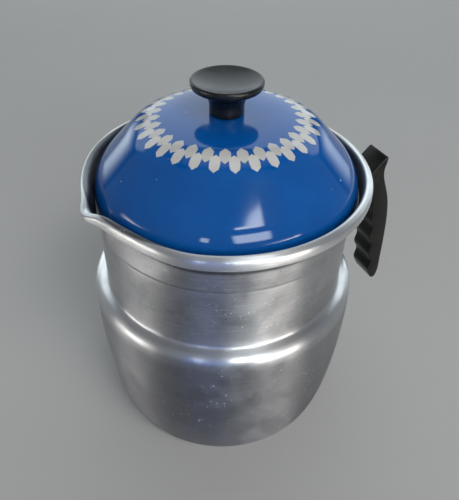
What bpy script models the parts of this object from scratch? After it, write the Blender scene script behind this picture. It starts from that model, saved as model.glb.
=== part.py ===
"""Stovetop coffee pot: spun aluminium body with a pressed lip, bakelite handle on a riveted strap, and a
lift-off enamelled lid with a bakelite knob.

Metres, +Z up. The origin is the centre of the base's underside, the handle is on +X and the lip on -X.
"""

import math

import bmesh
import bpy
from mathutils import Matrix, Vector

MM = 0.001

# ---- driving dimensions, in millimetres ------------------------------------------------------------------
GAP = 0.3                 # clearance between touching pieces
RIM_Z = 153.0             # height of the rim's widest line
BEAD_R = 72.5             # middle of the rolled rim
BEAD_WIDE = 2.45          # half width of the rolled rim
BEAD_TALL = 3.6           # half height of the rolled rim
BEAD_RISE = 1.6           # how far its middle is above RIM_Z
BEAD_LEAN = 0.12          # how much it leans in, per unit of height
WALL = 2.0                # wall of the spun body
BASE_R = 66.8             # flat of the base
BELLY_R = 74.5            # widest line, just under the shoulder
BELLY_Z = 86.5
SHOULDER_Z = 92.4         # where the shoulder rolls over
NECK_R = 66.8
NECK_Z = 95.0             # foot of the neck
GROOVE_Z = RIM_Z - 20.0   # thin turned line round the neck
BAND_R = 67.7             # plain band between that line and the rim
LEDGE_Z = RIM_Z - 4.9     # inner edge of the ledge that carries the lid
LEDGE_R = 66.3

LIP_AT = math.radians(185.5)   # azimuth of the pouring lip
LIP_OUT = 0.6             # how far the lip is pushed out
LIP_HALF = math.radians(9.0)
LIP_DIP = 2.1
PINCH_IN = 3.1            # how far the rim is drawn in beside the lip
PINCH_FROM = math.radians(20.0)
PINCH_TO = (math.radians(78.0), math.radians(52.0))   # on the left and on the right of the lip
LIP_DEEP = 25.0           # depth over which the lip fades out
RIM_TILT = 0.010          # the rolled rim lies slightly out of true
TILT_AT = math.radians(64.0)   # azimuth of its lowest point

LID_WALL = 1.2
LID_R = 67.1              # skirt
HEM_R = 67.3              # rolled hem
HEM_LOW = -4.5            # underside of the hem, from RIM_Z
CONE_LOW = (60.1, 12.1)   # radius and height above RIM_Z where the dome turns straight
CONE_HIGH = (48.6, 24.5)
CROWN = 33.2              # top of the dome above RIM_Z
LIFT_HOLE = 2.8           # hole for the knob's screw
LID_ASIDE = Vector((1.08, -0.53, 0.0))   # the lid lies a little off the pot's centre, away from the lip

KNOB_R = 17.0
KNOB_TOP = 50.0           # edge of the knob above RIM_Z
KNOB_EDGE = 3.4
STEM_R = 8.25

ARM_TOP = (92.0, -19.0)   # a point on the arm's top face: radius, height from RIM_Z
ARM_SLOPE = math.radians(45.0)
ARM_DEEP = 8.4
ARM_END_R = 77.6
GRIP_WIDE = 16.8
STRAP = 1.5
STRAP_WIDE = 15.0
RIVET_R = 2.0
RIVET_HEIGHTS = {"upper": RIM_Z - 33.5, "lower": RIM_Z - 43.0}
SCREW_R = 2.0
HANDLE_SCREW_R = 84.6     # radius at which the handle's screw crosses the strap
TONGUE_END_R = 90.6

SEGMENTS = 56


# ---- scene and materials ----------------------------------------------------------------------------------
def clear_scene():
    for obj in list(bpy.data.objects):
        bpy.data.objects.remove(obj, do_unlink=True)


def material(name, colour, roughness, metallic=0.0):
    mat = bpy.data.materials.new(name)
    mat.use_nodes = True
    shader = mat.node_tree.nodes["Principled BSDF"]
    shader.inputs["Base Color"].default_value = (*colour, 1.0)
    shader.inputs["Roughness"].default_value = roughness
    shader.inputs["Metallic"].default_value = metallic
    mat.diffuse_color = (*colour, 1.0)
    return mat


def add_object(name, bm, mat, sharp=35.0):
    """One closed mesh with outward faces, from a bmesh in millimetres."""
    bmesh.ops.scale(bm, vec=(MM, MM, MM), verts=bm.verts)
    bmesh.ops.recalc_face_normals(bm, faces=bm.faces)
    if bm.calc_volume(signed=True) < 0.0:
        bmesh.ops.reverse_faces(bm, faces=bm.faces)
    mesh = bpy.data.meshes.new(name)
    bm.to_mesh(mesh)
    bm.free()
    mesh.shade_smooth()
    mesh.set_sharp_from_angle(angle=math.radians(sharp))
    obj = bpy.data.objects.new(name, mesh)
    bpy.context.collection.objects.link(obj)
    if mat:
        obj.data.materials.append(mat)
    return obj


def cut(obj, cutter):
    """Takes the cutter's shape out of obj."""
    cutter.hide_render = True
    cutter.display_type = "WIRE"
    modifier = obj.modifiers.new(cutter.name, "BOOLEAN")
    modifier.operation = "DIFFERENCE"
    modifier.solver = "EXACT"
    modifier.object = cutter


# ---- shape helpers ----------------------------------------------------------------------------------------
def bezier(points, count):
    """Points of a cubic Bezier curve, both ends included."""
    curve = []
    for i in range(count + 1):
        t = i / count
        weights = ((1 - t) ** 3, 3 * t * (1 - t) ** 2, 3 * t * t * (1 - t), t**3)
        curve.append(tuple(sum(w * p[k] for w, p in zip(weights, points)) for k in (0, 1)))
    return curve


def arc(centre, radii, start, end, count):
    """Points of an elliptical arc, angles in degrees from +r towards +z."""
    points = []
    for i in range(count + 1):
        angle = math.radians(start + (end - start) * i / count)
        points.append((centre[0] + radii[0] * math.cos(angle), centre[1] + radii[1] * math.sin(angle)))
    return points


def inset(chain, distance):
    """The chain moved to its left by distance, corners mitred."""
    moved = []
    for i, point in enumerate(chain):
        before = Vector(chain[max(i - 1, 0)])
        after = Vector(chain[min(i + 1, len(chain) - 1)])
        here = Vector(point)
        sides = [v.normalized() for v in (here - before, after - here) if v.length > 1e-9]
        normals = [Vector((-s.y, s.x)) for s in sides]
        middle = sum(normals, Vector((0.0, 0.0))).normalized()
        moved.append(tuple(here + middle * (distance / max(middle.dot(normals[0]), 0.5))))
    return moved


def even_azimuths(count):
    return [2 * math.pi * i / count for i in range(count)]


def turned(chain, azimuths, warp=None, closed=False):
    """Turns a chain of (radius, height) about Z. An open chain starts and ends on the axis."""
    bm = bmesh.new()
    rings = []
    for radius, height in chain:
        if radius < 1e-6:
            rings.append([bm.verts.new((0.0, 0.0, height))])
            continue
        ring = []
        for azimuth in azimuths:
            r, z = warp(azimuth, radius, height) if warp else (radius, height)
            ring.append(bm.verts.new((r * math.cos(azimuth), r * math.sin(azimuth), z)))
        rings.append(ring)
    count = len(azimuths)
    pairs = list(zip(rings, rings[1:]))
    if closed:
        pairs.append((rings[-1], rings[0]))
    for low, high in pairs:
        for i in range(count):
            j = (i + 1) % count
            corners = [low[i % len(low)], low[j % len(low)], high[j % len(high)], high[i % len(high)]]
            face = list(dict.fromkeys(corners))
            if len(face) > 2:
                bm.faces.new(face)
    return bm


def place(obj, point, direction):
    """Turns obj's own +Z to direction and moves it to point, both in millimetres."""
    turn = Vector((0, 0, 1)).rotation_difference(Vector(direction).normalized())
    obj.matrix_world = Matrix.Translation(Vector(point) * MM) @ turn.to_matrix().to_4x4()
    return obj


def rod(name, radius, low, high, mat=None, segments=24):
    chain = [(0.0, low), (radius, low), (radius, high), (0.0, high)]
    return add_object(name, turned(chain, even_azimuths(segments)), mat)


# ---- pot ---------------------------------------------------------------------------------------------------
def smooth(t):
    t = min(max(t, 0.0), 1.0)
    return t * t * (3 - 2 * t)


def lip_warp(azimuth, radius, height):
    """Pushes the rim out into a pouring lip and draws it in on both sides of the lip."""
    fade = smooth((height - (RIM_Z - LIP_DEEP)) / (LIP_DEEP - 6.0))
    if fade <= 0.0:
        return radius, height
    turn = (azimuth - LIP_AT + math.pi) % (2 * math.pi) - math.pi
    away = abs(turn)
    pinch_to = PINCH_TO[0] if turn < 0.0 else PINCH_TO[1]
    nose = fade / (1.0 + (away / LIP_HALF) ** 2) ** 2
    pinch = fade * (1.0 - smooth((away - PINCH_FROM) / (pinch_to - PINCH_FROM)))
    flare = max((height - LEDGE_Z) / (2 * BEAD_TALL + 2.0), 0.0)
    out = (PINCH_IN + LIP_OUT * (3.0 * flare - 0.7)) * nose
    tilt = RIM_TILT * min(2.0 * flare, 1.0) * radius * math.cos(azimuth - TILT_AT)
    sink = LIP_DIP * (0.3 + 1.2 * flare) * nose + tilt
    return radius + out - PINCH_IN * pinch, height - sink


def pot_azimuths():
    """Evenly spaced round the body, and closer together at the lip."""
    fine_half = math.radians(32.0)
    fine_steps = 24
    coarse_steps = 48
    fine = [LIP_AT - fine_half + 2 * fine_half * i / fine_steps for i in range(fine_steps + 1)]
    start = LIP_AT + fine_half
    span = 2 * math.pi - 2 * fine_half
    return fine + [start + span * i / coarse_steps for i in range(1, coarse_steps)]


def body_outline():
    """Outside of the wall from the base's edge up to the turned line."""
    belly = bezier([(BASE_R, 0.0), (70.4, 0.0), (76.4, 43.6), (BELLY_R, BELLY_Z)], 9)
    shoulder = bezier([(BELLY_R, BELLY_Z), (74.6, 89.6), (73.4, SHOULDER_Z - 0.6), (70.6, 92.9)], 4)[1:]
    fillet = bezier([(70.6, 92.9), (68.2, 93.3), (67.0, 93.5), (NECK_R, NECK_Z)], 3)[1:]
    return belly + shoulder + fillet + [(NECK_R, GROOVE_Z - 0.6)]


def pot_chain():
    """Once round the wall's section, from the middle of the base out, up, over the rim and back down."""
    body = body_outline()
    inner = [p for p in reversed(inset(body, WALL)) if p[1] > WALL + 0.5]
    flare = [(NECK_R - 0.5, GROOVE_Z), (BAND_R, GROOVE_Z + 0.6), (BAND_R, LEDGE_Z - 4.1),
             (BAND_R + 0.9, LEDGE_Z - 1.7), (BAND_R + 2.5, LEDGE_Z + 0.5)]
    bead = arc((BEAD_R, RIM_Z + BEAD_RISE), (BEAD_WIDE, BEAD_TALL), -75, 205, 11)
    bead = [(r - BEAD_LEAN * (z - RIM_Z - BEAD_RISE), z) for r, z in bead]
    ledge = [(LEDGE_R + 3.4, LEDGE_Z + 0.9), (LEDGE_R + 2.9, LEDGE_Z + 0.2), (LEDGE_R, LEDGE_Z),
             (BAND_R - WALL + 0.1, LEDGE_Z - 0.7), (BAND_R - WALL, LEDGE_Z - 3.1),
              (BAND_R - WALL, GROOVE_Z + 1.2)]
    return [(0.0, 0.0)] + body + flare + bead + ledge + inner + [(BASE_R - 3.5, WALL), (0.0, WALL)]


def make_pot(mat):
    return add_object("pot_shell", turned(pot_chain(), pot_azimuths(), lip_warp), mat, sharp=40.0)


# ---- handle ------------------------------------------------------------------------------------------------
ARM_ALONG = Vector((math.cos(ARM_SLOPE), math.sin(ARM_SLOPE)))
ARM_UP = Vector((-ARM_ALONG.y, ARM_ALONG.x))


def arm_line(depth, radius):
    """Height of a line parallel to the arm's top face, depth under it, at a radius."""
    point = Vector((ARM_TOP[0], RIM_Z + ARM_TOP[1])) - ARM_UP * depth
    return point.y + (radius - point.x) * math.tan(ARM_SLOPE)


def strap_path():
    """Middle line of the strap: down the neck, round a tight bend and out along the arm's underside."""
    middle = GAP + STRAP / 2
    depth = ARM_DEEP + GAP + STRAP / 2
    top = Vector((NECK_R + middle, RIM_Z - 28.5))
    down = Vector((0.0, -1.0))
    start = Vector((ARM_TOP[0], arm_line(depth, ARM_TOP[0])))
    cross = down.x * ARM_ALONG.y - down.y * ARM_ALONG.x
    reach = ((start.x - top.x) * ARM_ALONG.y - (start.y - top.y) * ARM_ALONG.x) / cross
    corner = top + down * reach
    half_angle = down.angle(-ARM_ALONG) / 2
    bend = 2.3
    back = bend / math.tan(half_angle)
    enter = corner - down * back
    leave = corner + ARM_ALONG * back
    bisector = ((enter - corner).normalized() + (leave - corner).normalized()).normalized()
    centre = corner + bisector * (bend / math.sin(half_angle))
    first = math.atan2(enter.y - centre.y, enter.x - centre.x)
    last = math.atan2(leave.y - centre.y, leave.x - centre.x)
    if last < first:
        last += 2 * math.pi
    turn = [centre + Vector((math.cos(a), math.sin(a))) * bend
            for a in (first + (last - first) * i / 6 for i in range(7))]
    end = Vector((TONGUE_END_R, arm_line(depth, TONGUE_END_R)))
    upper = [top + (enter - top) * (i / 2) for i in range(2)]
    return upper + turn + [end]


def make_strap(mat):
    """A strip whose upper leg is curved to the neck and whose tongue is flat."""
    path = strap_path()
    columns = 7
    bm = bmesh.new()
    rows = []
    for i, point in enumerate(path):
        before = path[max(i - 1, 0)]
        after = path[min(i + 1, len(path) - 1)]
        side = Vector((-(after - before).y, (after - before).x)).normalized() * (STRAP / 2)
        curved = 1.0 if i < 2 else (0.5 if i == 2 else 0.0)
        row = []
        for sign in (1, -1):
            spots = range(columns) if sign == 1 else range(columns - 1, -1, -1)
            for j in spots:
                y = STRAP_WIDE * (j / (columns - 1) - 0.5)
                spot = point + side * sign
                sag = spot.x - math.sqrt(spot.x**2 - y**2)
                row.append(bm.verts.new((spot.x - sag * curved, y, spot.y)))
        rows.append(row)
    count = 2 * columns
    for low, high in zip(rows, rows[1:]):
        for k in range(count):
            m = (k + 1) % count
            bm.faces.new((low[k], low[m], high[m], high[k]))
    bm.faces.new(rows[0])
    bm.faces.new(list(reversed(rows[-1])))
    return add_object("handle_bracket", bm, mat)


def grip_outline():
    """Side view of the handle, (radius, height), once round."""
    z = RIM_Z
    elbow = bezier([(98.6, z - 12.4), (102.0, z - 8.6), (103.0, z - 10.0), (101.6, z - 16.5)], 5)
    spine = bezier([(101.6, z - 16.5), (100.4, z - 23.5), (105.5, z - 30.5), (109.0, z - 40.0)], 4)[1:]
    back = bezier([(109.0, z - 40.0), (114.2, z - 55.0), (115.2, z - 76.0), (117.2, z - 101.0)], 5)[1:]
    tip = bezier([(117.2, z - 101.0), (117.9, z - 110.5), (115.5, z - 114.8), (111.6, z - 110.2)], 4)[1:]
    waves = []
    wave_top = Vector((99.6, z - 50.0))
    wave_low = Vector((108.9, z - 104.0))
    lean = (wave_low - wave_top).normalized()
    inward = Vector((-1.0, 0.0))
    bumps = 3.5
    steps = 21
    for i in range(steps + 1):
        t = 1.0 - i / steps
        swell = 1.0 * math.sin(2 * math.pi * bumps * t - 0.6) * smooth(t * 6)
        spot = wave_top + lean * ((wave_low - wave_top).length * t) + inward * swell
        waves.append((spot.x, spot.y))
    root = arm_line(ARM_DEEP, 92.0)
    throat = bezier([waves[-1], (96.2, z - 40.0), (95.6, root + 3.6 - 1.0), (92.0, root)], 4)[1:]
    end_low = (ARM_END_R, arm_line(ARM_DEEP, ARM_END_R))
    end_high = (ARM_END_R, arm_line(0.0, ARM_END_R))
    return elbow + spine + back + tip + waves + throat + [end_low, end_high]


def make_grip(mat):
    """The side view given its width, with rounded edges."""
    bm = bmesh.new()
    corners = [bm.verts.new((r, -GRIP_WIDE / 2, z)) for r, z in grip_outline()]
    face = bm.faces.new(corners)
    grown = bmesh.ops.extrude_face_region(bm, geom=[face])
    moved = [v for v in grown["geom"] if isinstance(v, bmesh.types.BMVert)]
    bmesh.ops.translate(bm, verts=moved, vec=(0, GRIP_WIDE, 0))
    rims = [e for e in bm.edges if abs(e.verts[0].co.y - e.verts[1].co.y) < 1e-6]
    bmesh.ops.bevel(bm, geom=rims, offset=1.3, offset_type="OFFSET", segments=2, profile=0.5,
                    affect="EDGES", clamp_overlap=True)
    bmesh.ops.triangulate(bm, faces=[f for f in bm.faces if len(f.verts) > 4])
    return add_object("handle_grip", bm, mat)


def make_rivet(where, mat):
    """Domed head outside, flat head inside, shank through strap and wall."""
    height = RIVET_HEIGHTS[where]
    outer = GAP + STRAP + GAP
    inner = -(WALL + GAP)
    dome = arc((0.0, outer), (3.8, 2.0), 90, 0, 4)
    chain = dome[:-1] + [(3.8, outer), (RIVET_R, outer), (RIVET_R, inner), (3.6, inner),
                         (3.3, inner - 1.1), (0.0, inner - 1.1)]
    rivet = add_object(f"bracket_rivet_{where}", turned(chain, even_azimuths(20)), mat)
    return place(rivet, (NECK_R, 0.0, height), (1, 0, 0))


def make_rivet_hole(where):
    height = RIVET_HEIGHTS[where]
    hole = rod(f"rivet_hole_{where}", RIVET_R + GAP, -9.0, 9.0, segments=20)
    return place(hole, (NECK_R, 0.0, height), (1, 0, 0))


def screw_chain(head_r, head_h, length):
    """Pan-head screw on +Z: the head's bearing face at zero, its shank upwards, a cross recess aside."""
    return [(0.0, -head_h), (head_r * 0.62, -head_h), (head_r * 0.93, -head_h * 0.72),
            (head_r, -head_h * 0.3),
            (head_r, 0.0), (SCREW_R, 0.0), (SCREW_R, length - 0.6), (SCREW_R - 0.6, length), (0.0, length)]


def slot_cutter(name, width, length, floor, low):
    """Box that cuts a screwdriver slot into the face of a head, in the screw's own frame."""
    bm = bmesh.new()
    bmesh.ops.create_cube(bm, size=1.0)
    bmesh.ops.scale(bm, vec=(length, width, floor - low), verts=bm.verts)
    bmesh.ops.translate(bm, vec=(0, 0, (floor + low) / 2), verts=bm.verts)
    return add_object(name, bm, None)


def ring_chain(inner, outer, low, high):
    return [(inner, low), (outer, low), (outer, high), (inner, high)]


def make_handle(mats):
    grip = make_grip(mats["bakelite"])
    strap = make_strap(mats["strap"])
    axis = Vector((ARM_UP.x, 0.0, ARM_UP.y))
    tongue_under = ARM_DEEP + GAP + STRAP
    washer = 1.0
    seat = Vector((HANDLE_SCREW_R, 0.0, arm_line(tongue_under, HANDLE_SCREW_R)))
    head = seat - axis * (washer + 2 * GAP)
    reach = 2 * GAP + washer + STRAP + GAP
    chain = screw_chain(3.6, 2.3, reach + 6.0)
    screw = add_object("handle_screw", turned(chain, even_azimuths(20)), mats["steel"])
    place(screw, head, axis)
    slot = place(slot_cutter("handle_screw_slot", 1.0, 9.0, -1.2, -4.0), head, axis)
    cut(screw, slot)
    ring = add_object("handle_washer", turned(ring_chain(SCREW_R + GAP, 4.0, -washer, 0.0),
                                              even_azimuths(20), closed=True), mats["washer"])
    place(ring, seat - axis * GAP, axis)
    cut(strap, place(rod("strap_hole", SCREW_R + GAP, -3.0, 4.0, segments=20), seat, axis))
    pocket_mouth = seat + axis * (STRAP + GAP)
    insert = add_object("handle_insert", turned(ring_chain(SCREW_R + GAP, 3.4, 0.1, 6.0),
                                                even_azimuths(20), closed=True), mats["insert"])
    place(insert, pocket_mouth, axis)
    cut(grip, place(rod("grip_pocket", 3.4 + GAP, -4.0, 6.0 + GAP, segments=20), pocket_mouth, axis))
    return strap


# ---- lid ---------------------------------------------------------------------------------------------------
def lid_outline():
    """Outside of the lid from the crown's hole to the skirt, heights above RIM_Z."""
    crown = bezier([(0.0, CROWN), (26.0, CROWN + 0.8), (40.1, CONE_HIGH[1] + 8.9), CONE_HIGH], 9)
    crown = [(LIFT_HOLE, CROWN)] + [p for p in crown[1:] if p[0] > LIFT_HOLE + 1]
    shoulder = bezier([CONE_LOW, (63.2, 8.9), (66.8, 3.4), (LID_R, HEM_LOW + 2.6)], 6)
    return crown + shoulder


def make_lid(mat):
    outer = [(r, RIM_Z + z) for r, z in lid_outline()]
    inner = inset(list(reversed(outer)), LID_WALL)
    inner[-1] = (LIFT_HOLE, inner[-2][1] + 0.05)
    hem_wide, hem_tall = 0.9, 1.1
    hem = arc((HEM_R - hem_wide, RIM_Z + HEM_LOW + hem_tall), (hem_wide, hem_tall), 40, -220, 7)
    chain = outer + hem + inner
    return add_object("lid_shell", turned(chain, even_azimuths(SEGMENTS), closed=True), mat, sharp=50.0)


def make_knob(mat):
    """Mushroom knob: dished top, thin edge, flared underside, straight stem on the crown."""
    top = RIM_Z + KNOB_TOP
    foot = RIM_Z + CROWN + GAP + 0.2
    dish = bezier([(0.0, top - 2.9), (7.0, top - 2.9), (12.5, top - 1.3), (KNOB_R - 1.5, top - 0.1)], 5)
    edge = bezier([(KNOB_R - 1.5, top - 0.1), (KNOB_R, top + 0.3), (KNOB_R + 0.2, top - 1.6),
                   (KNOB_R - 0.6, top - KNOB_EDGE)], 4)[1:]
    flare = bezier([(KNOB_R - 0.6, top - KNOB_EDGE), (12.8, top - 5.8), (STEM_R + 1.0, top - 6.2),
                    (STEM_R, top - 11.0)], 5)[1:]
    chain = dish + edge + flare + [(STEM_R + 0.1, foot), (0.0, foot)]
    return add_object("lid_knob", turned(chain, even_azimuths(36)), mat)


def make_lid_set(mats):
    shell = make_lid(mats["enamel"])
    knob = make_knob(mats["knob"])
    crown_top = RIM_Z + CROWN
    crown_under = crown_top - LID_WALL
    foot = crown_top + GAP + 0.2
    seal_high = 0.8
    seal = ring_chain(LIFT_HOLE, 5.6, crown_top + GAP, crown_top + GAP + seal_high)
    seal = add_object("knob_seal", turned(seal, even_azimuths(24), closed=True), mats["fibre"])
    recess_top = crown_top + GAP + seal_high + GAP
    recess = rod("knob_recess", 5.6 + GAP, foot - 2.0, recess_top)
    insert_top = recess_top + 6.4
    insert = ring_chain(SCREW_R + GAP, 3.6, recess_top + GAP, insert_top)
    insert = add_object("knob_insert", turned(insert, even_azimuths(24), closed=True), mats["insert"])
    pocket = rod("knob_pocket", 3.6 + GAP, foot - 2.0, insert_top + GAP)
    washer_high = 1.0
    washer_top = crown_under - GAP
    washer = ring_chain(SCREW_R + GAP, 5.0, washer_top - washer_high, washer_top)
    washer = add_object("knob_washer", turned(washer, even_azimuths(24), closed=True), mats["washer"])
    bearing = washer_top - washer_high - GAP
    chain = screw_chain(3.7, 2.2, insert_top - 0.4 - bearing)
    chain = [(r, bearing + z) for r, z in chain]
    screw = add_object("knob_screw", turned(chain, even_azimuths(24)), mats["steel"])
    slot = slot_cutter("knob_screw_slot", 1.0, 9.0, bearing - 1.1, bearing - 4.0)
    for obj in (shell, knob, seal, recess, insert, pocket, washer, screw, slot):
        obj.location = LID_ASIDE * MM
    cut(knob, recess)
    cut(knob, pocket)
    cut(screw, slot)


# ---- assembly ----------------------------------------------------------------------------------------------
def main():
    clear_scene()
    mats = {
        "aluminium": material("spun_aluminium", (0.70, 0.70, 0.69), 0.32, 1.0),
        "enamel": material("blue_enamel", (0.010, 0.085, 0.32), 0.12),
        "knob": material("knob_bakelite", (0.012, 0.012, 0.012), 0.28),
        "bakelite": material("handle_bakelite", (0.014, 0.013, 0.012), 0.42),
        "strap": material("strap_steel", (0.55, 0.55, 0.54), 0.38, 1.0),
        "rivet": material("rivet_aluminium", (0.74, 0.74, 0.73), 0.40, 1.0),
        "steel": material("screw_steel", (0.58, 0.57, 0.55), 0.34, 1.0),
        "washer": material("washer_steel", (0.50, 0.50, 0.49), 0.42, 1.0),
        "insert": material("insert_brass", (0.70, 0.50, 0.22), 0.35, 1.0),
        "fibre": material("seal_fibre", (0.16, 0.06, 0.04), 0.85),
    }
    pot = make_pot(mats["aluminium"])
    strap = make_handle(mats)
    for where in RIVET_HEIGHTS:
        make_rivet(where, mats["rivet"])
        hole = make_rivet_hole(where)
        cut(pot, hole)
        cut(strap, hole)
    make_lid_set(mats)


main()
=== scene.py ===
"""Stovetop pot with an enamelled lid: the detailed visual model, its materials, light and camera.

A turned shape is a chain of (radius, height) points in millimetres about the pot's axis, scaled to
metres when its piece is made. An azimuth of 0 is +X, towards the handle.
"""

import math

import bmesh
import bpy
from mathutils import Euler, Matrix, Vector


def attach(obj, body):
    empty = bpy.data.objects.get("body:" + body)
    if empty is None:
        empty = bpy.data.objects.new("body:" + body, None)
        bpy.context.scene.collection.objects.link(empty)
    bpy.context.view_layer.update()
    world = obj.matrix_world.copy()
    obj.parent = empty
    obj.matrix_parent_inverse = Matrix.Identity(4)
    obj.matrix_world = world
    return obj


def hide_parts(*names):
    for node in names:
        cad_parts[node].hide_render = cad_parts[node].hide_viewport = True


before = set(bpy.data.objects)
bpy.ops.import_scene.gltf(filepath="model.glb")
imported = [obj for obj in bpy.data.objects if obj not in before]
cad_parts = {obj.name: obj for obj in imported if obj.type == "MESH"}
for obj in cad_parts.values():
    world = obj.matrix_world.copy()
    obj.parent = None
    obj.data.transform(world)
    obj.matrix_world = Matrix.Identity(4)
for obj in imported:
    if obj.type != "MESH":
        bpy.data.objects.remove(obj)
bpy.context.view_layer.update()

MM = 0.001
VIEW_AT = math.radians(-26.0)            # the camera's turn about the pot

# Pot, mm
RIM = 153.0                              # height where the rim's bead starts
WALL = 2.0
BASE_R, BASE_EDGE = 66.8, 3.5
BELLY_R, BELLY_Z = 74.5, 86.5            # widest, at the foot of the shoulder
SHOULDER_R, SHOULDER_Z = 70.6, 92.9      # the shoulder's flattest point
NECK_R, NECK_Z = 66.8, 95.0
GROOVE_Z = RIM - 20.0
BAND_R = 67.7                            # the wall between the groove and the bead
LEDGE_R, LEDGE_Z = 66.3, RIM - 4.9       # inside the rim, under the lid
BEAD_R, BEAD_WIDE, BEAD_TALL, BEAD_RISE, BEAD_LEAN = 72.5, 2.45, 3.6, 1.6, 0.06
LIP_AT = math.radians(185.5)

# Lid and knob, mm
LID_AXIS = Vector((1.08, -0.53, 0.0))    # the lid lies away from the lip
KNOB_SHIFT = Vector((-0.5, 0.24, 0.0))
LID_SHEET = 1.2
CROWN = 33.2                             # the dome's height above the rim
SCREW_HOLE_R = 2.8
CONE_TOP, CONE_FOOT = (48.6, 24.5), (60.1, 12.1)    # the dome's straight stretch, above the rim
KNOB_TOP = RIM + 50.0

# Handle, mm
GRIP_WIDE, GRIP_ROUND = 16.8, 1.35
ARM_SLOPE = math.radians(45.0)
ARM_TOP = Vector((92.0, RIM - 19.0))     # a point on the arm's upper edge
ARM_DEEP, ARM_END_R = 8.4, 77.6
WAVE_COUNT, WAVE_SWELL, WAVE_START = 3.5, 1.0, 0.6


# ---- curves and meshes ---------------------------------------------------------------------------
def path(start, *curves):
    """Cubic curves joined end to end, each given as (control, control, end, number of steps)."""
    points = [start]
    for *controls, count in curves:
        corners = (points[-1], *controls)
        for i in range(1, count + 1):
            t = i / count
            weights = ((1 - t) ** 3, 3 * t * (1 - t) ** 2, 3 * t * t * (1 - t), t**3)
            points.append(tuple(sum(w * p[k] for w, p in zip(weights, corners)) for k in (0, 1)))
    return points


def arc(centre, radii, start, end, count):
    """An elliptic arc between two angles in degrees."""
    points = []
    for i in range(count + 1):
        angle = math.radians(start + (end - start) * i / count)
        points.append((centre[0] + radii[0] * math.cos(angle),
                       centre[1] + radii[1] * math.sin(angle)))
    return points


def inset(chain, distance):
    """The chain moved to its left, corners mitred."""
    moved = []
    for i, point in enumerate(chain):
        before, after = Vector(chain[max(i - 1, 0)]), Vector(chain[min(i + 1, len(chain) - 1)])
        here = Vector(point)
        sides = [v.normalized() for v in (here - before, after - here) if v.length > 1e-9]
        normals = [Vector((-s.y, s.x)) for s in sides]
        middle = sum(normals, Vector((0.0, 0.0))).normalized()
        moved.append(tuple(here + middle * (distance / max(middle.dot(normals[0]), 0.5))))
    return moved


def smooth(t):
    """Eases from 0 to 1, and stays there outside that range."""
    t = min(max(t, 0.0), 1.0)
    return t * t * (3 - 2 * t)


def even(count):
    return [2 * math.pi * i / count for i in range(count)]


def turned(chain, azimuths, warp=None, closed=False):
    """Turns a chain about Z. A point on the axis becomes one vertex."""
    bm = bmesh.new()
    rings = []
    for radius, height in chain:
        if radius < 1e-6:
            rings.append([bm.verts.new((0.0, 0.0, height))])
            continue
        ring = []
        for azimuth in azimuths:
            r, z = warp(azimuth, radius, height) if warp else (radius, height)
            ring.append(bm.verts.new((r * math.cos(azimuth), r * math.sin(azimuth), z)))
        rings.append(ring)
    count = len(azimuths)
    pairs = list(zip(rings, rings[1:])) + ([(rings[-1], rings[0])] if closed else [])
    for low, high in pairs:
        for i in range(count):
            j = (i + 1) % count
            corners = [low[i % len(low)], low[j % len(low)],
                       high[j % len(high)], high[i % len(high)]]
            face = list(dict.fromkeys(corners))
            if len(face) > 2:
                bm.faces.new(face)
    return bm


def piece(name, bm, mat, body, node, sharp=40.0, at=None):
    """Makes a shown piece from a bmesh in millimetres, in place of a CAD node."""
    bmesh.ops.scale(bm, vec=(MM, MM, MM), verts=bm.verts)
    bmesh.ops.recalc_face_normals(bm, faces=bm.faces)
    if bm.calc_volume(signed=True) < 0.0:
        bmesh.ops.reverse_faces(bm, faces=bm.faces)
    mesh = bpy.data.meshes.new(name)
    bm.to_mesh(mesh)
    bm.free()
    mesh.shade_smooth()
    mesh.set_sharp_from_angle(angle=math.radians(sharp))
    obj = bpy.data.objects.new(name, mesh)
    bpy.context.scene.collection.objects.link(obj)
    obj.data.materials.append(mat)
    if at:
        obj.location = at * MM
    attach(obj, body)
    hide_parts(node)


# ---- material helpers ----------------------------------------------------------------------------
def new_material(name, roughness, metallic, **levels):
    mat = bpy.data.materials.new(name)
    mat.use_nodes = True
    tree = mat.node_tree
    shader = tree.nodes["Principled BSDF"]
    shader.inputs["Roughness"].default_value = roughness
    shader.inputs["Metallic"].default_value = metallic
    for level, value in levels.items():
        shader.inputs[level.replace("_", " ")].default_value = value
    return mat, tree, shader


def plug(tree, socket, value):
    """Links a socket's output, or sets a plain value, on an input."""
    if isinstance(value, bpy.types.NodeSocket):
        tree.links.new(value, socket)
    else:
        socket.default_value = value


def maths(tree, operation, a, b=0.0):
    n = tree.nodes.new("ShaderNodeMath")
    n.operation = operation
    plug(tree, n.inputs[0], a)
    plug(tree, n.inputs[1], b)
    return n.outputs[0]


def times(tree, first, *others):
    for other in others:
        first = maths(tree, "MULTIPLY", first, other)
    return first


def plus(tree, a, b):
    return maths(tree, "ADD", a, b)


def minus(tree, a, b):
    return maths(tree, "SUBTRACT", a, b)


def larger(tree, a, b):
    return maths(tree, "MAXIMUM", a, b)


def span(tree, value, low, high, to_low=0.0, to_high=1.0, soft=True):
    """Maps low..high to to_low..to_high and stays there outside it."""
    n = tree.nodes.new("ShaderNodeMapRange")
    n.interpolation_type = "SMOOTHSTEP" if soft else "LINEAR"
    n.clamp = True
    names = ("Value", "From Min", "From Max", "To Min", "To Max")
    for name, v in zip(names, (value, low, high, to_low, to_high)):
        plug(tree, n.inputs[name], v)
    return n.outputs["Result"]


def below(tree, value, low, high):
    """1 under low, fading to 0 at high."""
    return span(tree, value, low, high, 1.0, 0.0)


def belt(tree, value, low, full_low, full_high, high):
    """1 between the two middle values, fading to 0 at the outer ones."""
    return times(tree, span(tree, value, low, full_low), below(tree, value, full_high, high))


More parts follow.
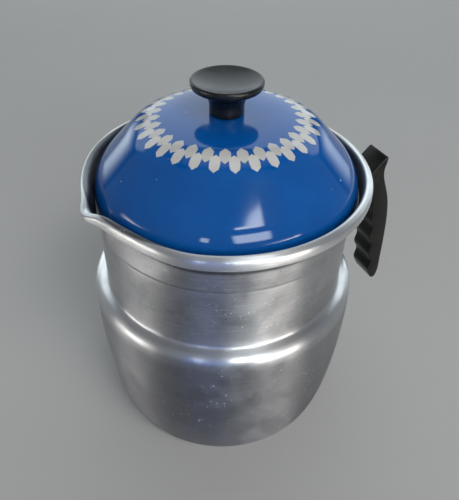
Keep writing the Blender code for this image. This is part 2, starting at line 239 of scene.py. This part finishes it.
def mix(tree, factor, a, b):
    n = tree.nodes.new("ShaderNodeMix")
    n.data_type = "RGBA"
    plug(tree, n.inputs["Factor"], factor)
    for name, value in (("A", a), ("B", b)):
        socket = next(s for s in n.inputs if s.name == name and s.type == "RGBA")
        plug(tree, socket, (*value, 1.0) if isinstance(value, tuple) else value)
    return next(s for s in n.outputs if s.type == "RGBA")


def layered(tree, colour, layers):
    """Lays each (share, tint) over the colour in turn."""
    for share, tint in layers:
        colour = mix(tree, share, colour, tint)
    return colour


def place_of(tree):
    return tree.nodes.new("ShaderNodeTexCoord").outputs["Object"]


def split(tree, vector):
    n = tree.nodes.new("ShaderNodeSeparateXYZ")
    plug(tree, n.inputs[0], vector)
    return n.outputs


def xyz(tree):
    """Object coordinates in millimetres, and the distance from the axis."""
    x, y, z = (times(tree, coordinate, 1 / MM) for coordinate in split(tree, place_of(tree)))
    radius = maths(tree, "SQRT", plus(tree, times(tree, x, x), times(tree, y, y)))
    return x, y, z, radius


def stretched(tree, scale):
    n = tree.nodes.new("ShaderNodeMapping")
    plug(tree, n.inputs["Vector"], place_of(tree))
    n.inputs["Scale"].default_value = scale
    return n.outputs["Vector"]


def noise(tree, scale, detail=3.0, vector=None, rough=0.55):
    n = tree.nodes.new("ShaderNodeTexNoise")
    plug(tree, n.inputs["Vector"], vector or place_of(tree))
    n.inputs["Scale"].default_value = scale
    n.inputs["Detail"].default_value = detail
    n.inputs["Roughness"].default_value = rough
    return n.outputs["Fac"]


def specks(tree, scale, size, share, where=None):
    """Round spots in about this share of a pattern's cells. Their size is in cells."""
    n = tree.nodes.new("ShaderNodeTexVoronoi")
    plug(tree, n.inputs["Vector"], place_of(tree))
    n.inputs["Scale"].default_value = scale
    shade = tree.nodes.new("ShaderNodeSeparateColor")
    plug(tree, shade.inputs[0], n.outputs["Color"])
    shuffle = 7.31
    draw = maths(tree, "FRACT", times(tree, shade.outputs["Red"], shuffle))
    spot = below(tree, n.outputs["Distance"], size * 0.55, size)
    found = times(tree, spot, below(tree, draw, share, share + 0.02))
    return times(tree, found, where) if where else found


def bump(tree, shader, height, strength, distance):
    n = tree.nodes.new("ShaderNodeBump")
    n.inputs["Strength"].default_value = strength
    n.inputs["Distance"].default_value = distance
    plug(tree, n.inputs["Height"], height)
    plug(tree, shader.inputs["Normal"], n.outputs["Normal"])


# ---- materials -----------------------------------------------------------------------------------
def aluminium():
    """Spun, brushed and worn: turning lines, stains, pale specks and small pits. Painted shade
    darkens the groove, the band under the bead and the belly towards the bottom, the inner wall is
    darker from stain and painted shade, and painted highlights lighten the bead and the shoulder's
    bend.
    """
    mat, tree, shader = new_material("worn_spun_aluminium", 0.3, 1.0,
                                     Anisotropic=0.9, Anisotropic_Rotation=0.25)
    tangent = tree.nodes.new("ShaderNodeTangent")
    tangent.direction_type = "RADIAL"
    tangent.axis = "Z"
    plug(tree, shader.inputs["Tangent"], tangent.outputs["Tangent"])
    x, y, z, radius = xyz(tree)

    # Where on the pot
    neck = span(tree, z, NECK_Z - 2.0, NECK_Z + 2.0)
    shoulder = belt(tree, z, BELLY_Z - 1.5, BELLY_Z + 1.5, NECK_Z + 1.0, NECK_Z + 3.0)
    off_shoulder = minus(tree, 1.0, shoulder)
    bend = belt(tree, z, BELLY_Z + 1.5, BELLY_Z + 5.5, NECK_Z - 1.4, NECK_Z + 0.5)
    # Painted shade: darker under the shoulder and more so towards the bottom, in place of a darker
    # reflection from below.
    belly_shade = plus(tree, span(tree, z, BELLY_Z - 4.5, BELLY_Z + 0.5, 0.45, 0.0),
                 span(tree, z, 10.0, BELLY_Z - 11.5, 0.3, 0.0))
    rim = times(tree, span(tree, z, RIM - 3.0, RIM - 1.5), span(tree, radius, 70.8, 71.6))
    # Painted shade: a dark line in the groove's step and just under the bead's overhang.
    groove = belt(tree, z, GROOVE_Z - 0.9, GROOVE_Z - 0.4, GROOVE_Z + 0.3, GROOVE_Z + 0.7)
    under_bead_shade = times(tree, span(tree, z, LEDGE_Z - 4.6, LEDGE_Z - 2.6),
                       below(tree, radius, 70.4, 71.2))
    normal_x, normal_y, _ = split(tree, tree.nodes.new("ShaderNodeTexCoord").outputs["Normal"])
    outward = plus(tree, times(tree, x, normal_x), times(tree, y, normal_y))
    # Faces turned towards the axis: the inner wall is darker, partly stain and partly painted
    # shade.
    inside = span(tree, outward, -30.0, -10.0, 0.6, 0.0)

    # Patterns
    lines = noise(tree, 1.0, 4.0, stretched(tree, (9.0, 9.0, 2600.0)), 0.7)
    broad_lines = noise(tree, 1.0, 2.0, stretched(tree, (14.0, 14.0, 700.0)))
    scratches = noise(tree, 1.0, 2.0, stretched(tree, (60.0, 60.0, 1900.0)), 0.5)
    scratches = span(tree, scratches, 0.66, 0.74)
    stains = noise(tree, 38.0, 5.0)
    blotches = noise(tree, 75.0, 3.0, rough=0.65)
    cloud = noise(tree, 11.0)
    clusters = span(tree, noise(tree, 19.0, 2.0), 0.42, 0.58)
    pits = specks(tree, 330.0, 0.16, 0.09, off_shoulder)
    pale = larger(tree, specks(tree, 225.0, 0.15, 0.26, clusters),
                  specks(tree, 440.0, 0.20, 0.30, clusters))
    fewer_on_neck = minus(tree, 1.0, times(tree, neck, 0.35))
    light_spots = larger(tree, times(tree, pale, times(tree, off_shoulder, fewer_on_neck)),
                         specks(tree, 620.0, 0.24, 0.22, rim))

    clean, stained = (0.61, 0.612, 0.622), (0.48, 0.485, 0.500)
    colour = layered(tree, mix(tree, span(tree, stains, 0.42, 0.68), clean, stained), (
        (span(tree, blotches, 0.50, 0.62, 0.0, 0.35), (0.72, 0.72, 0.71)),
        (span(tree, blotches, 0.48, 0.36, 0.0, 0.30), (0.34, 0.34, 0.36)),
        (span(tree, cloud, 0.45, 0.7, 0.0, 0.5), (0.42, 0.425, 0.445)),
        (times(tree, span(tree, lines, 0.3, 0.75, 0.0, 0.5), off_shoulder), (0.36, 0.36, 0.37)),
        # Painted shade in the groove and under the bead, darkened nearly to black.
        (times(tree, larger(tree, groove, under_bead_shade), 0.8), (0.09, 0.09, 0.10)),
        # The inner wall: partly stain, partly painted shade.
        (inside, (0.14, 0.14, 0.15)),
        # Painted shade down the belly.
        (belly_shade, (0.24, 0.24, 0.26)),
        (times(tree, pits, 0.85), (0.16, 0.15, 0.15)),
        # Painted highlight: the bead's outer face and the shoulder's bend are lightened.
        (larger(tree, times(tree, rim, 0.85), times(tree, bend, 0.80)), (0.90, 0.90, 0.895)),
        (times(tree, scratches, off_shoulder, 0.35), (0.86, 0.86, 0.86)),
        (light_spots, (0.92, 0.92, 0.91)),
    ))
    plug(tree, shader.inputs["Base Color"], colour)

    rough = span(tree, plus(tree, stains, blotches), 0.8, 1.3, 0.33, 0.45, soft=False)
    rough = plus(tree, minus(tree, rough, times(tree, bend, 0.04)), times(tree, light_spots, 0.3))
    plug(tree, shader.inputs["Roughness"], rough)
    line_depth = times(tree, plus(tree, times(tree, neck, 0.6), 0.4), off_shoulder)
    height = plus(tree, times(tree, plus(tree, lines, broad_lines), line_depth),
                  times(tree, minus(tree, light_spots, pits), 2.0))
    bump(tree, shader, height, 0.20, 0.2 * MM)
    return mat


def enamel():
    """Gloss blue enamel with two staggered rings of pale leaves round the shoulder of the dome."""
    mat, tree, shader = new_material("blue_enamel_leaves", 0.07, 0.0, IOR=1.55)
    x, y, z, radius = xyz(tree)
    azimuth = maths(tree, "ARCTAN2", y, x)
    ring_start, leaf_step = 32.0, math.radians(360.0 / 30)
    past_start = minus(tree, radius, ring_start)
    steepening = times(tree, past_start, past_start, 0.0055)
    down_dome = plus(tree, times(tree, past_start, 1.07), steepening)

    def leaf_ring(middle, half_long, half_wide, first, blunt):
        """Leaves centred at middle down the dome; first is the azimuth, in degrees, of one edge."""
        turns = maths(tree, "DIVIDE", minus(tree, azimuth, math.radians(first)), leaf_step)
        aside = minus(tree, maths(tree, "FRACT", plus(tree, turns, 100.5)), 0.5)
        across = maths(tree, "ABSOLUTE", times(tree, aside, leaf_step, radius))
        along = maths(tree, "ABSOLUTE", minus(tree, down_dome, middle))
        along = maths(tree, "DIVIDE", along, half_long)
        side = minus(tree, 1.0, times(tree, maths(tree, "POWER", along, 2.0), 0.35))
        tip = times(tree, minus(tree, 1.0, along), blunt)
        half = maths(tree, "MINIMUM", side, tip)
        return span(tree, minus(tree, half, maths(tree, "DIVIDE", across, half_wide)), -0.02, 0.05)

    upper = leaf_ring(4.75, 4.9, 2.55, 3.2, 1.9)
    lower = leaf_ring(9.5, 5.0, 2.4, 9.2, 2.4)
    outer_face = span(tree, z, RIM + 8.0, RIM + 9.0)
    leaves = times(tree, larger(tree, upper, lower), outer_face)
    tone = noise(tree, 60.0)
    blue = mix(tree, span(tree, tone, 0.35, 0.7), (0.0014, 0.090, 0.365), (0.0026, 0.102, 0.395))
    leaf = mix(tree, span(tree, tone, 0.3, 0.7), (0.58, 0.565, 0.535), (0.66, 0.645, 0.615))
    leaf = mix(tree, times(tree, upper, minus(tree, 1.0, lower)), leaf, (0.55, 0.54, 0.515))
    chips = specks(tree, 95.0, 0.055, 0.30)
    colour = layered(tree, blue, ((leaves, leaf), (chips, (0.62, 0.66, 0.70))))
    plug(tree, shader.inputs["Base Color"], colour)
    rough = span(tree, noise(tree, 25.0, 4.0), 0.35, 0.75, 0.05, 0.11, soft=False)
    plug(tree, shader.inputs["Roughness"], rough)
    ripple = plus(tree, noise(tree, 16.0, 2.0), times(tree, leaves, 0.04))
    bump(tree, shader, ripple, 0.22, 0.6 * MM)
    return mat


def bakelite(name, roughness, tint, specular):
    """Black moulded plastic, dulled and scuffed in patches."""
    mat, tree, shader = new_material(name, roughness, 0.0, IOR=1.55, Specular_IOR_Level=specular)
    wear = noise(tree, 45.0, 5.0)
    scuffs = noise(tree, 1.0, 4.0, stretched(tree, (240.0, 900.0, 240.0)))
    worn = tuple(2.4 * c for c in tint)
    colour = mix(tree, span(tree, wear, 0.4, 0.72), tint, worn)
    colour = mix(tree, specks(tree, 300.0, 0.12, 0.05), colour, (0.10, 0.09, 0.08))
    plug(tree, shader.inputs["Base Color"], colour)
    rough = span(tree, wear, 0.3, 0.75, roughness - 0.06, roughness + 0.12, soft=False)
    plug(tree, shader.inputs["Roughness"], rough)
    bump(tree, shader, plus(tree, wear, times(tree, scuffs, 0.3)), 0.12, 0.3 * MM)
    return mat


def fastener(name, light, dark, roughness, metallic=1.0):
    """A satin finish with patches of tarnish, for the strap and the fasteners."""
    mat, tree, shader = new_material(name, roughness, metallic)
    grain = noise(tree, 900.0)
    tarnish = noise(tree, 120.0, 4.0)
    plug(tree, shader.inputs["Base Color"], mix(tree, span(tree, tarnish, 0.35, 0.75), light, dark))
    rough = span(tree, tarnish, 0.3, 0.75, roughness - 0.05, roughness + 0.15, soft=False)
    plug(tree, shader.inputs["Roughness"], rough)
    bump(tree, shader, grain, 0.10, 0.1 * MM)
    return mat


# ---- pot body ------------------------------------------------------------------------------------
def lip_warp(azimuth, radius, height):
    """Pushes the rim out into a pouring lip, draws it in on both sides and tilts it slightly."""
    fade_deep, full_deep = 25.0, 6.0         # under the rim: no effect, full effect
    fade = smooth((height - (RIM - fade_deep)) / (fade_deep - full_deep))
    if fade <= 0.0:
        return radius, height
    turn = (azimuth - LIP_AT + math.pi) % (2 * math.pi) - math.pi
    away = abs(math.degrees(turn))
    nose_wide, pinch_from, pinch_to = 9.0, 20.0, 78.0 if turn < 0.0 else 52.0
    nose = fade / (1.0 + (away / nose_wide) ** 2) ** 2
    pinch = 3.1 * fade * (1.0 - smooth((away - pinch_from) / (pinch_to - pinch_from)))
    flare = max((height - LEDGE_Z) / (2 * BEAD_TALL + 2.0), 0.0)
    push = (3.1 + 0.6 * (3.0 * flare - 0.7)) * nose
    drop = 2.1 * (0.3 + 1.2 * flare) * nose
    tilt = 0.010 * min(2.0 * flare, 1.0) * radius * math.cos(azimuth - math.radians(64.0))
    return radius + push - pinch, height - drop - tilt


def pot_azimuths():
    """Evenly spaced, and closer together at the lip."""
    half, fine_count, coarse_count = math.radians(40.0), 110, 250
    fine = [LIP_AT - half + 2 * half * i / fine_count for i in range(fine_count + 1)]
    rest = 2 * math.pi - 2 * half
    return fine + [LIP_AT + half + rest * i / coarse_count for i in range(1, coarse_count)]


def bead_chain():
    """The rolled rim, from a notch below it, over its outside and top, to the ledge inside."""
    middle, top, out = RIM + BEAD_RISE, RIM + BEAD_RISE + BEAD_TALL, BEAD_R + BEAD_WIDE
    notch = [(70.1, LEDGE_Z + 1.3), (70.0, LEDGE_Z + 2.2), (70.6, LEDGE_Z + 2.7)]
    outside = path(
        (71.4, LEDGE_Z + 2.9),
        ((74.1, LEDGE_Z + 2.8), (out, LEDGE_Z + 4.1), (out, middle - 0.6), 12),
        ((out, middle + 1.2), (out - 0.25, middle + 2.2), (out - 1.2, middle + 2.8), 14),
        ((out - 1.9, middle + 3.2), (BEAD_R + 0.3, top), (BEAD_R - 0.4, top), 10),
    )
    inside = arc((BEAD_R - 0.4, middle), (BEAD_WIDE - 0.4, BEAD_TALL), 92, 205, 22)
    return notch + outside + [(r - BEAD_LEAN * (z - top), z) for r, z in inside]


def pot_chain():
    """From the base's centre up the outside, over the rim and down the inside."""
    body = path(
        (BASE_R, 0.0),
        ((70.4, 0.0), (76.4, 43.6), (BELLY_R, BELLY_Z), 40),
        ((74.5, 88.9), (73.6, 91.7), (SHOULDER_R, SHOULDER_Z), 14),
        ((68.2, 93.3), (67.0, 93.5), (NECK_R, NECK_Z), 10),
    )
    neck_tall = GROOVE_Z - 0.9 - NECK_Z
    body += [(NECK_R, NECK_Z + neck_tall * i / 8) for i in range(1, 9)]
    groove = [(NECK_R - 0.05, GROOVE_Z - 0.6), (NECK_R - 0.7, GROOVE_Z - 0.2),
              (NECK_R - 0.7, GROOVE_Z + 0.05), (BAND_R - 0.25, GROOVE_Z + 0.35),
              (BAND_R, GROOVE_Z + 0.7)]
    band_foot, band_tall = GROOVE_Z + 2.0, LEDGE_Z - 4.6 - GROOVE_Z - 2.0
    band = [(BAND_R, band_foot + band_tall * i / 5) for i in range(6)]
    flare = path(
        (BAND_R, LEDGE_Z - 4.1),
        ((BAND_R + 0.1, LEDGE_Z - 2.0), (BAND_R + 1.2, LEDGE_Z - 0.8),
         (BAND_R + 2.5, LEDGE_Z + 0.5), 8),
    )
    bore = BAND_R - WALL
    ledge = [(LEDGE_R + 3.4, LEDGE_Z + 0.9), (LEDGE_R + 2.9, LEDGE_Z + 0.2), (LEDGE_R, LEDGE_Z),
             (bore + 0.1, LEDGE_Z - 0.7), (bore, LEDGE_Z - 3.1), (bore, GROOVE_Z + 1.2)]
    inner = [p for p in reversed(inset(body, WALL)) if p[1] > WALL + 0.5]
    floor = [(BASE_R - BASE_EDGE, WALL), (0.0, WALL)]
    return [(0.0, 0.0)] + body + groove + band + flare + bead_chain() + ledge + inner + floor


# ---- handle --------------------------------------------------------------------------------------
def arm_height(depth, radius):
    """The height, at a radius, of the line that runs this depth below the arm's upper edge."""
    point = ARM_TOP + Vector((math.sin(ARM_SLOPE), -math.cos(ARM_SLOPE))) * depth
    return point.y + (radius - point.x) * math.tan(ARM_SLOPE)


def finger_waves():
    """Up the grip's inner side, from its foot to the throat."""
    top, foot, count = Vector((99.6, RIM - 50.0)), Vector((108.9, RIM - 104.0)), 63
    waves = []
    for i in range(count + 1):
        t = 1.0 - i / count
        swell = WAVE_SWELL * math.sin(2 * math.pi * WAVE_COUNT * t - WAVE_START) * smooth(t * 6)
        spot = top + (foot - top) * t - Vector((swell, 0.0))
        waves.append((spot.x, spot.y))
    return waves


def grip_outline():
    """The handle's side view, as (radius, height), from the elbow round to the arm's end."""
    z = RIM
    back = path(
        (98.6, z - 12.4),
        ((102.0, z - 8.6), (103.0, z - 10.0), (101.6, z - 16.5), 14),      # elbow
        ((100.4, z - 23.5), (105.5, z - 30.5), (109.0, z - 40.0), 12),
        ((114.2, z - 55.0), (115.2, z - 76.0), (117.2, z - 101.0), 16),
        ((117.9, z - 110.5), (115.5, z - 114.8), (111.6, z - 110.2), 12),  # foot
    )
    waves = finger_waves()
    root = arm_height(ARM_DEEP, ARM_TOP.x)
    throat = path(waves[-1], ((96.2, z - 40.0), (95.6, root + 2.6), (ARM_TOP.x, root), 12))[1:]
    arm_end = [(ARM_END_R, arm_height(depth, ARM_END_R)) for depth in (ARM_DEEP, 0.0)]
    return back + waves + throat + arm_end


def grip_mesh():
    """The outline made into a slab, its two rims rounded."""
    bm = bmesh.new()
    face = bm.faces.new([bm.verts.new((r, -GRIP_WIDE / 2, z)) for r, z in grip_outline()])
    grown = bmesh.ops.extrude_face_region(bm, geom=[face])
    moved = [v for v in grown["geom"] if isinstance(v, bmesh.types.BMVert)]
    bmesh.ops.translate(bm, verts=moved, vec=(0, GRIP_WIDE, 0))
    rims = [e for e in bm.edges if abs(e.verts[0].co.y - e.verts[1].co.y) < 1e-6]
    bmesh.ops.bevel(bm, geom=rims, offset=GRIP_ROUND, offset_type="OFFSET", segments=4, profile=0.5,
                    affect="EDGES", clamp_overlap=True)
    bmesh.ops.triangulate(bm, faces=[f for f in bm.faces if len(f.verts) > 4])
    return bm


# ---- lid and knob --------------------------------------------------------------------------------
def lid_chain():
    """A closed section: over the dome, round the hem and back under the dome."""
    crown = path((0.0, CROWN), ((26.0, CROWN + 0.8), (40.1, 33.4), CONE_TOP, 40))
    crown = [(SCREW_HOLE_R, CROWN)] + [p for p in crown[1:] if p[0] > SCREW_HOLE_R + 1]
    cone = [tuple(Vector(CONE_TOP).lerp(Vector(CONE_FOOT), t)) for t in (0.25, 0.5, 0.75)]
    shoulder = path(CONE_FOOT, ((63.2, 8.9), (66.8, 3.4), (67.1, -1.9), 24))
    outer = [(r, RIM + z) for r, z in crown + cone + shoulder]
    inner = inset(list(reversed(outer)), LID_SHEET)
    inner[-1] = (SCREW_HOLE_R, inner[-2][1] + 0.05)
    hem = arc((66.4, RIM - 3.4), (0.9, 1.1), 40, -220, 20)
    return outer + hem + inner


def knob_chain():
    """From the dished top's centre, over the edge and down the flare, to the middle of the foot."""
    top, foot = KNOB_TOP, RIM + CROWN + 0.5
    outside = path(
        (0.0, top - 2.9),
        ((7.0, top - 2.9), (12.7, top - 1.3), (15.7, top - 0.1), 18),      # dish
        ((17.3, top + 0.3), (17.6, top - 1.6), (16.6, top - 3.4), 14),     # edge
        ((12.9, top - 5.8), (9.3, top - 6.2), (8.35, top - 11.5), 20),     # flare
    )
    return outside + [(8.3, top - 14.0), (8.35, foot + 0.4), (8.1, foot), (0.0, foot)]


def build():
    piece("pot_body", turned(pot_chain(), pot_azimuths(), lip_warp), aluminium(),
          "pot", "pot_shell")
    piece("lid_dome", turned(lid_chain(), even(256), closed=True), enamel(),
          "lid", "lid_shell", at=LID_AXIS)
    piece("knob", turned(knob_chain(), even(128)),
          bakelite("knob_black_bakelite", 0.27, (0.008, 0.0085, 0.009), 0.35),
          "lid", "lid_knob", at=LID_AXIS + KNOB_SHIFT)
    piece("grip", grip_mesh(),
          bakelite("grip_black_bakelite", 0.28, (0.0060, 0.0058, 0.0046), 0.25),
          "pot", "handle_grip", sharp=50.0)
    finishes = {
        "handle_bracket": fastener("satin_strap_steel",
                                   (0.56, 0.56, 0.55), (0.42, 0.41, 0.40), 0.34),
        "rivet": fastener("rivet_aluminium", (0.76, 0.76, 0.75), (0.58, 0.58, 0.57), 0.36),
        "screw": fastener("zinc_screw_steel", (0.60, 0.59, 0.56), (0.45, 0.44, 0.42), 0.33),
        "washer": fastener("zinc_washer_steel", (0.52, 0.52, 0.51), (0.40, 0.40, 0.39), 0.40),
        "insert": fastener("insert_brass", (0.72, 0.52, 0.24), (0.50, 0.34, 0.15), 0.34),
        "seal": fastener("red_fibre", (0.17, 0.06, 0.045), (0.10, 0.035, 0.03), 0.8, 0.0),
    }
    for name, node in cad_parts.items():
        finish = next((mat for key, mat in finishes.items() if key in name), None)
        if finish:
            node.data.materials.clear()
            node.data.materials.append(finish)


# ---- floor, light and camera ---------------------------------------------------------------------
DAYLIGHT, WARM_DAYLIGHT = (0.90, 0.97, 1.0), (1.0, 0.95, 0.90)
CARD_AIM = Vector((0.0, 0.0, 0.14))      # the point that every card faces, m


def sheet_object(name, width, height, mat):
    """A flat staged rectangle, centred on its origin and facing its +Z, hidden from the camera."""
    mesh = bpy.data.meshes.new(name)
    w, h = width / 2, height / 2
    mesh.from_pydata([(-w, -h, 0), (w, -h, 0), (w, h, 0), (-w, h, 0)], [], [(0, 1, 2, 3)])
    obj = bpy.data.objects.new(name, mesh)
    bpy.context.scene.collection.objects.link(obj)
    obj.data.materials.append(mat)
    obj.visible_camera = False
    return obj


def make_floor():
    mat, tree, shader = new_material("pale_floor", 0.8, 0.0, Specular_IOR_Level=0.1)
    colour = mix(tree, noise(tree, 3.0), (0.47, 0.455, 0.44), (0.50, 0.485, 0.47))
    plug(tree, shader.inputs["Base Color"], colour)
    sheet_object("floor", 5.0, 5.0, mat).visible_camera = True


def card(name, azimuth, elevation, distance, size, strength, colour, soft, lights_floor=True):
    """A glowing card that faces the pot, fading out over the share soft of its half size.

    Its azimuth is seen from the camera: -90 is towards the camera and 0 is to the right. Lengths
    are in metres. A low card doesn't light the floor, where it would leave a hot strip.
    """
    mat = bpy.data.materials.new(name)
    mat.use_nodes = True
    tree = mat.node_tree
    tree.nodes.remove(tree.nodes["Principled BSDF"])
    across, up, _ = split(tree, place_of(tree))
    fades = [below(tree, maths(tree, "ABSOLUTE", place), side / 2 * (1 - soft), side / 2)
             for place, side in ((across, size[0]), (up, size[1]))]
    glow = tree.nodes.new("ShaderNodeEmission")
    glow.inputs["Color"].default_value = (*colour, 1.0)
    plug(tree, glow.inputs["Strength"], times(tree, *fades, strength))
    plug(tree, tree.nodes["Material Output"].inputs["Surface"], glow.outputs[0])
    obj = sheet_object(name, *size, mat)
    obj.visible_diffuse = lights_floor
    a, e = math.radians(azimuth) + VIEW_AT, math.radians(elevation)
    towards = Vector((math.cos(a) * math.cos(e), math.sin(a) * math.cos(e), math.sin(e)))
    obj.location = CARD_AIM + towards * distance
    obj.rotation_mode = "QUATERNION"
    obj.rotation_quaternion = towards.to_track_quat("Z", "Y")
    return obj


def floor_flag():
    """A dim sheet lying on the floor in front of the pot, seen only in the metal's reflections."""
    azimuth = -92
    flag = card("floor_flag", azimuth, 0, 0.37, (0.30, 0.54), 0.20, (0.80, 0.86, 1.0), 0.2, False)
    flag.location.z = 0.5 * MM
    turn = math.radians(azimuth + 90) + VIEW_AT
    flag.rotation_quaternion = Euler((0.0, 0.0, turn)).to_quaternion()
    flag.visible_shadow = False


def make_lights():
    floor_flag()
    card("window_upper", -67, 44.3, 1.5, (0.62, 0.12), 9.0, DAYLIGHT, 0.3)
    card("window_lower", -68, 26, 1.5, (0.86, 0.42), 7.0, DAYLIGHT, 0.3)
    card("window_gap", -106, 22, 1.5, (0.22, 0.26), 6.0, DAYLIGHT, 0.5)
    card("window_low", -48, 3, 1.5, (1.05, 0.42), 9.0, WARM_DAYLIGHT, 0.3, False)
    card("back_wall", 90, 27, 1.8, (5.6, 1.9), 1.35, (0.84, 0.94, 1.0), 0.25)
    card("ceiling", 90, 72, 1.7, (2.2, 1.3), 1.1, (0.95, 0.98, 1.0), 1.0)
    card("left_wing", 134, 4, 1.7, (1.20, 1.00), 2.9, (0.82, 0.93, 1.0), 1.0)
    card("right_wing", 46, 4, 1.7, (1.20, 1.00), 2.2, (0.82, 0.93, 1.0), 1.0)
    key = card("key", -50, 50, 1.5, (1.0, 1.0), 6.5, (1.0, 0.99, 0.97), 0.8)
    key.visible_glossy = False
    card("left_low", -158, 1, 1.5, (1.30, 0.34), 7.5, (1.0, 0.97, 0.94), 0.7, False)
    card("sky_shade", -100, 6, 1.0, (0.66, 0.34), 1.2, (0.10, 0.27, 1.0), 0.2, False)
    world = bpy.data.worlds.new("room")
    bpy.context.scene.world = world
    world.use_nodes = True
    background = world.node_tree.nodes["Background"]
    background.inputs["Color"].default_value = (0.80, 0.86, 0.95, 1.0)
    background.inputs["Strength"].default_value = 0.22
    bpy.context.scene.view_settings.view_transform = "Standard"


def make_camera():
    """The photograph's viewpoint, placed from the centre of the rim in rim radii."""
    rim_radius, rim_centre = 75.0 * MM, Vector((0.0, 0.0, RIM * MM))
    pitch, roll, reach = 0.71127, 0.02209, 4.0369        # radians, radians, rim radii
    aim = Vector((0.0457, 0.0, -0.7013))                 # rim radii, before the turn by VIEW_AT
    data = bpy.data.cameras.new("camera")
    data.sensor_width = 36.0
    data.lens = 37.44
    camera = bpy.data.objects.new("camera", data)
    bpy.context.scene.collection.objects.link(camera)
    back = Vector((0.0, -math.cos(pitch), math.sin(pitch)))
    up = Vector((0.0, math.sin(pitch), math.cos(pitch)))
    right = Vector((1.0, 0.0, 0.0))
    rolled_right = right * math.cos(roll) + up * math.sin(roll)
    rolled_up = up * math.cos(roll) - right * math.sin(roll)
    place = (aim + back * reach) * rim_radius + rim_centre
    axes = [(rolled_right[k], rolled_up[k], back[k], place[k]) for k in range(3)]
    camera.matrix_world = Matrix.Rotation(VIEW_AT, 4, "Z") @ Matrix(axes + [(0.0, 0.0, 0.0, 1.0)])
    bpy.context.scene.camera = camera


build()
make_floor()
make_lights()
make_camera()
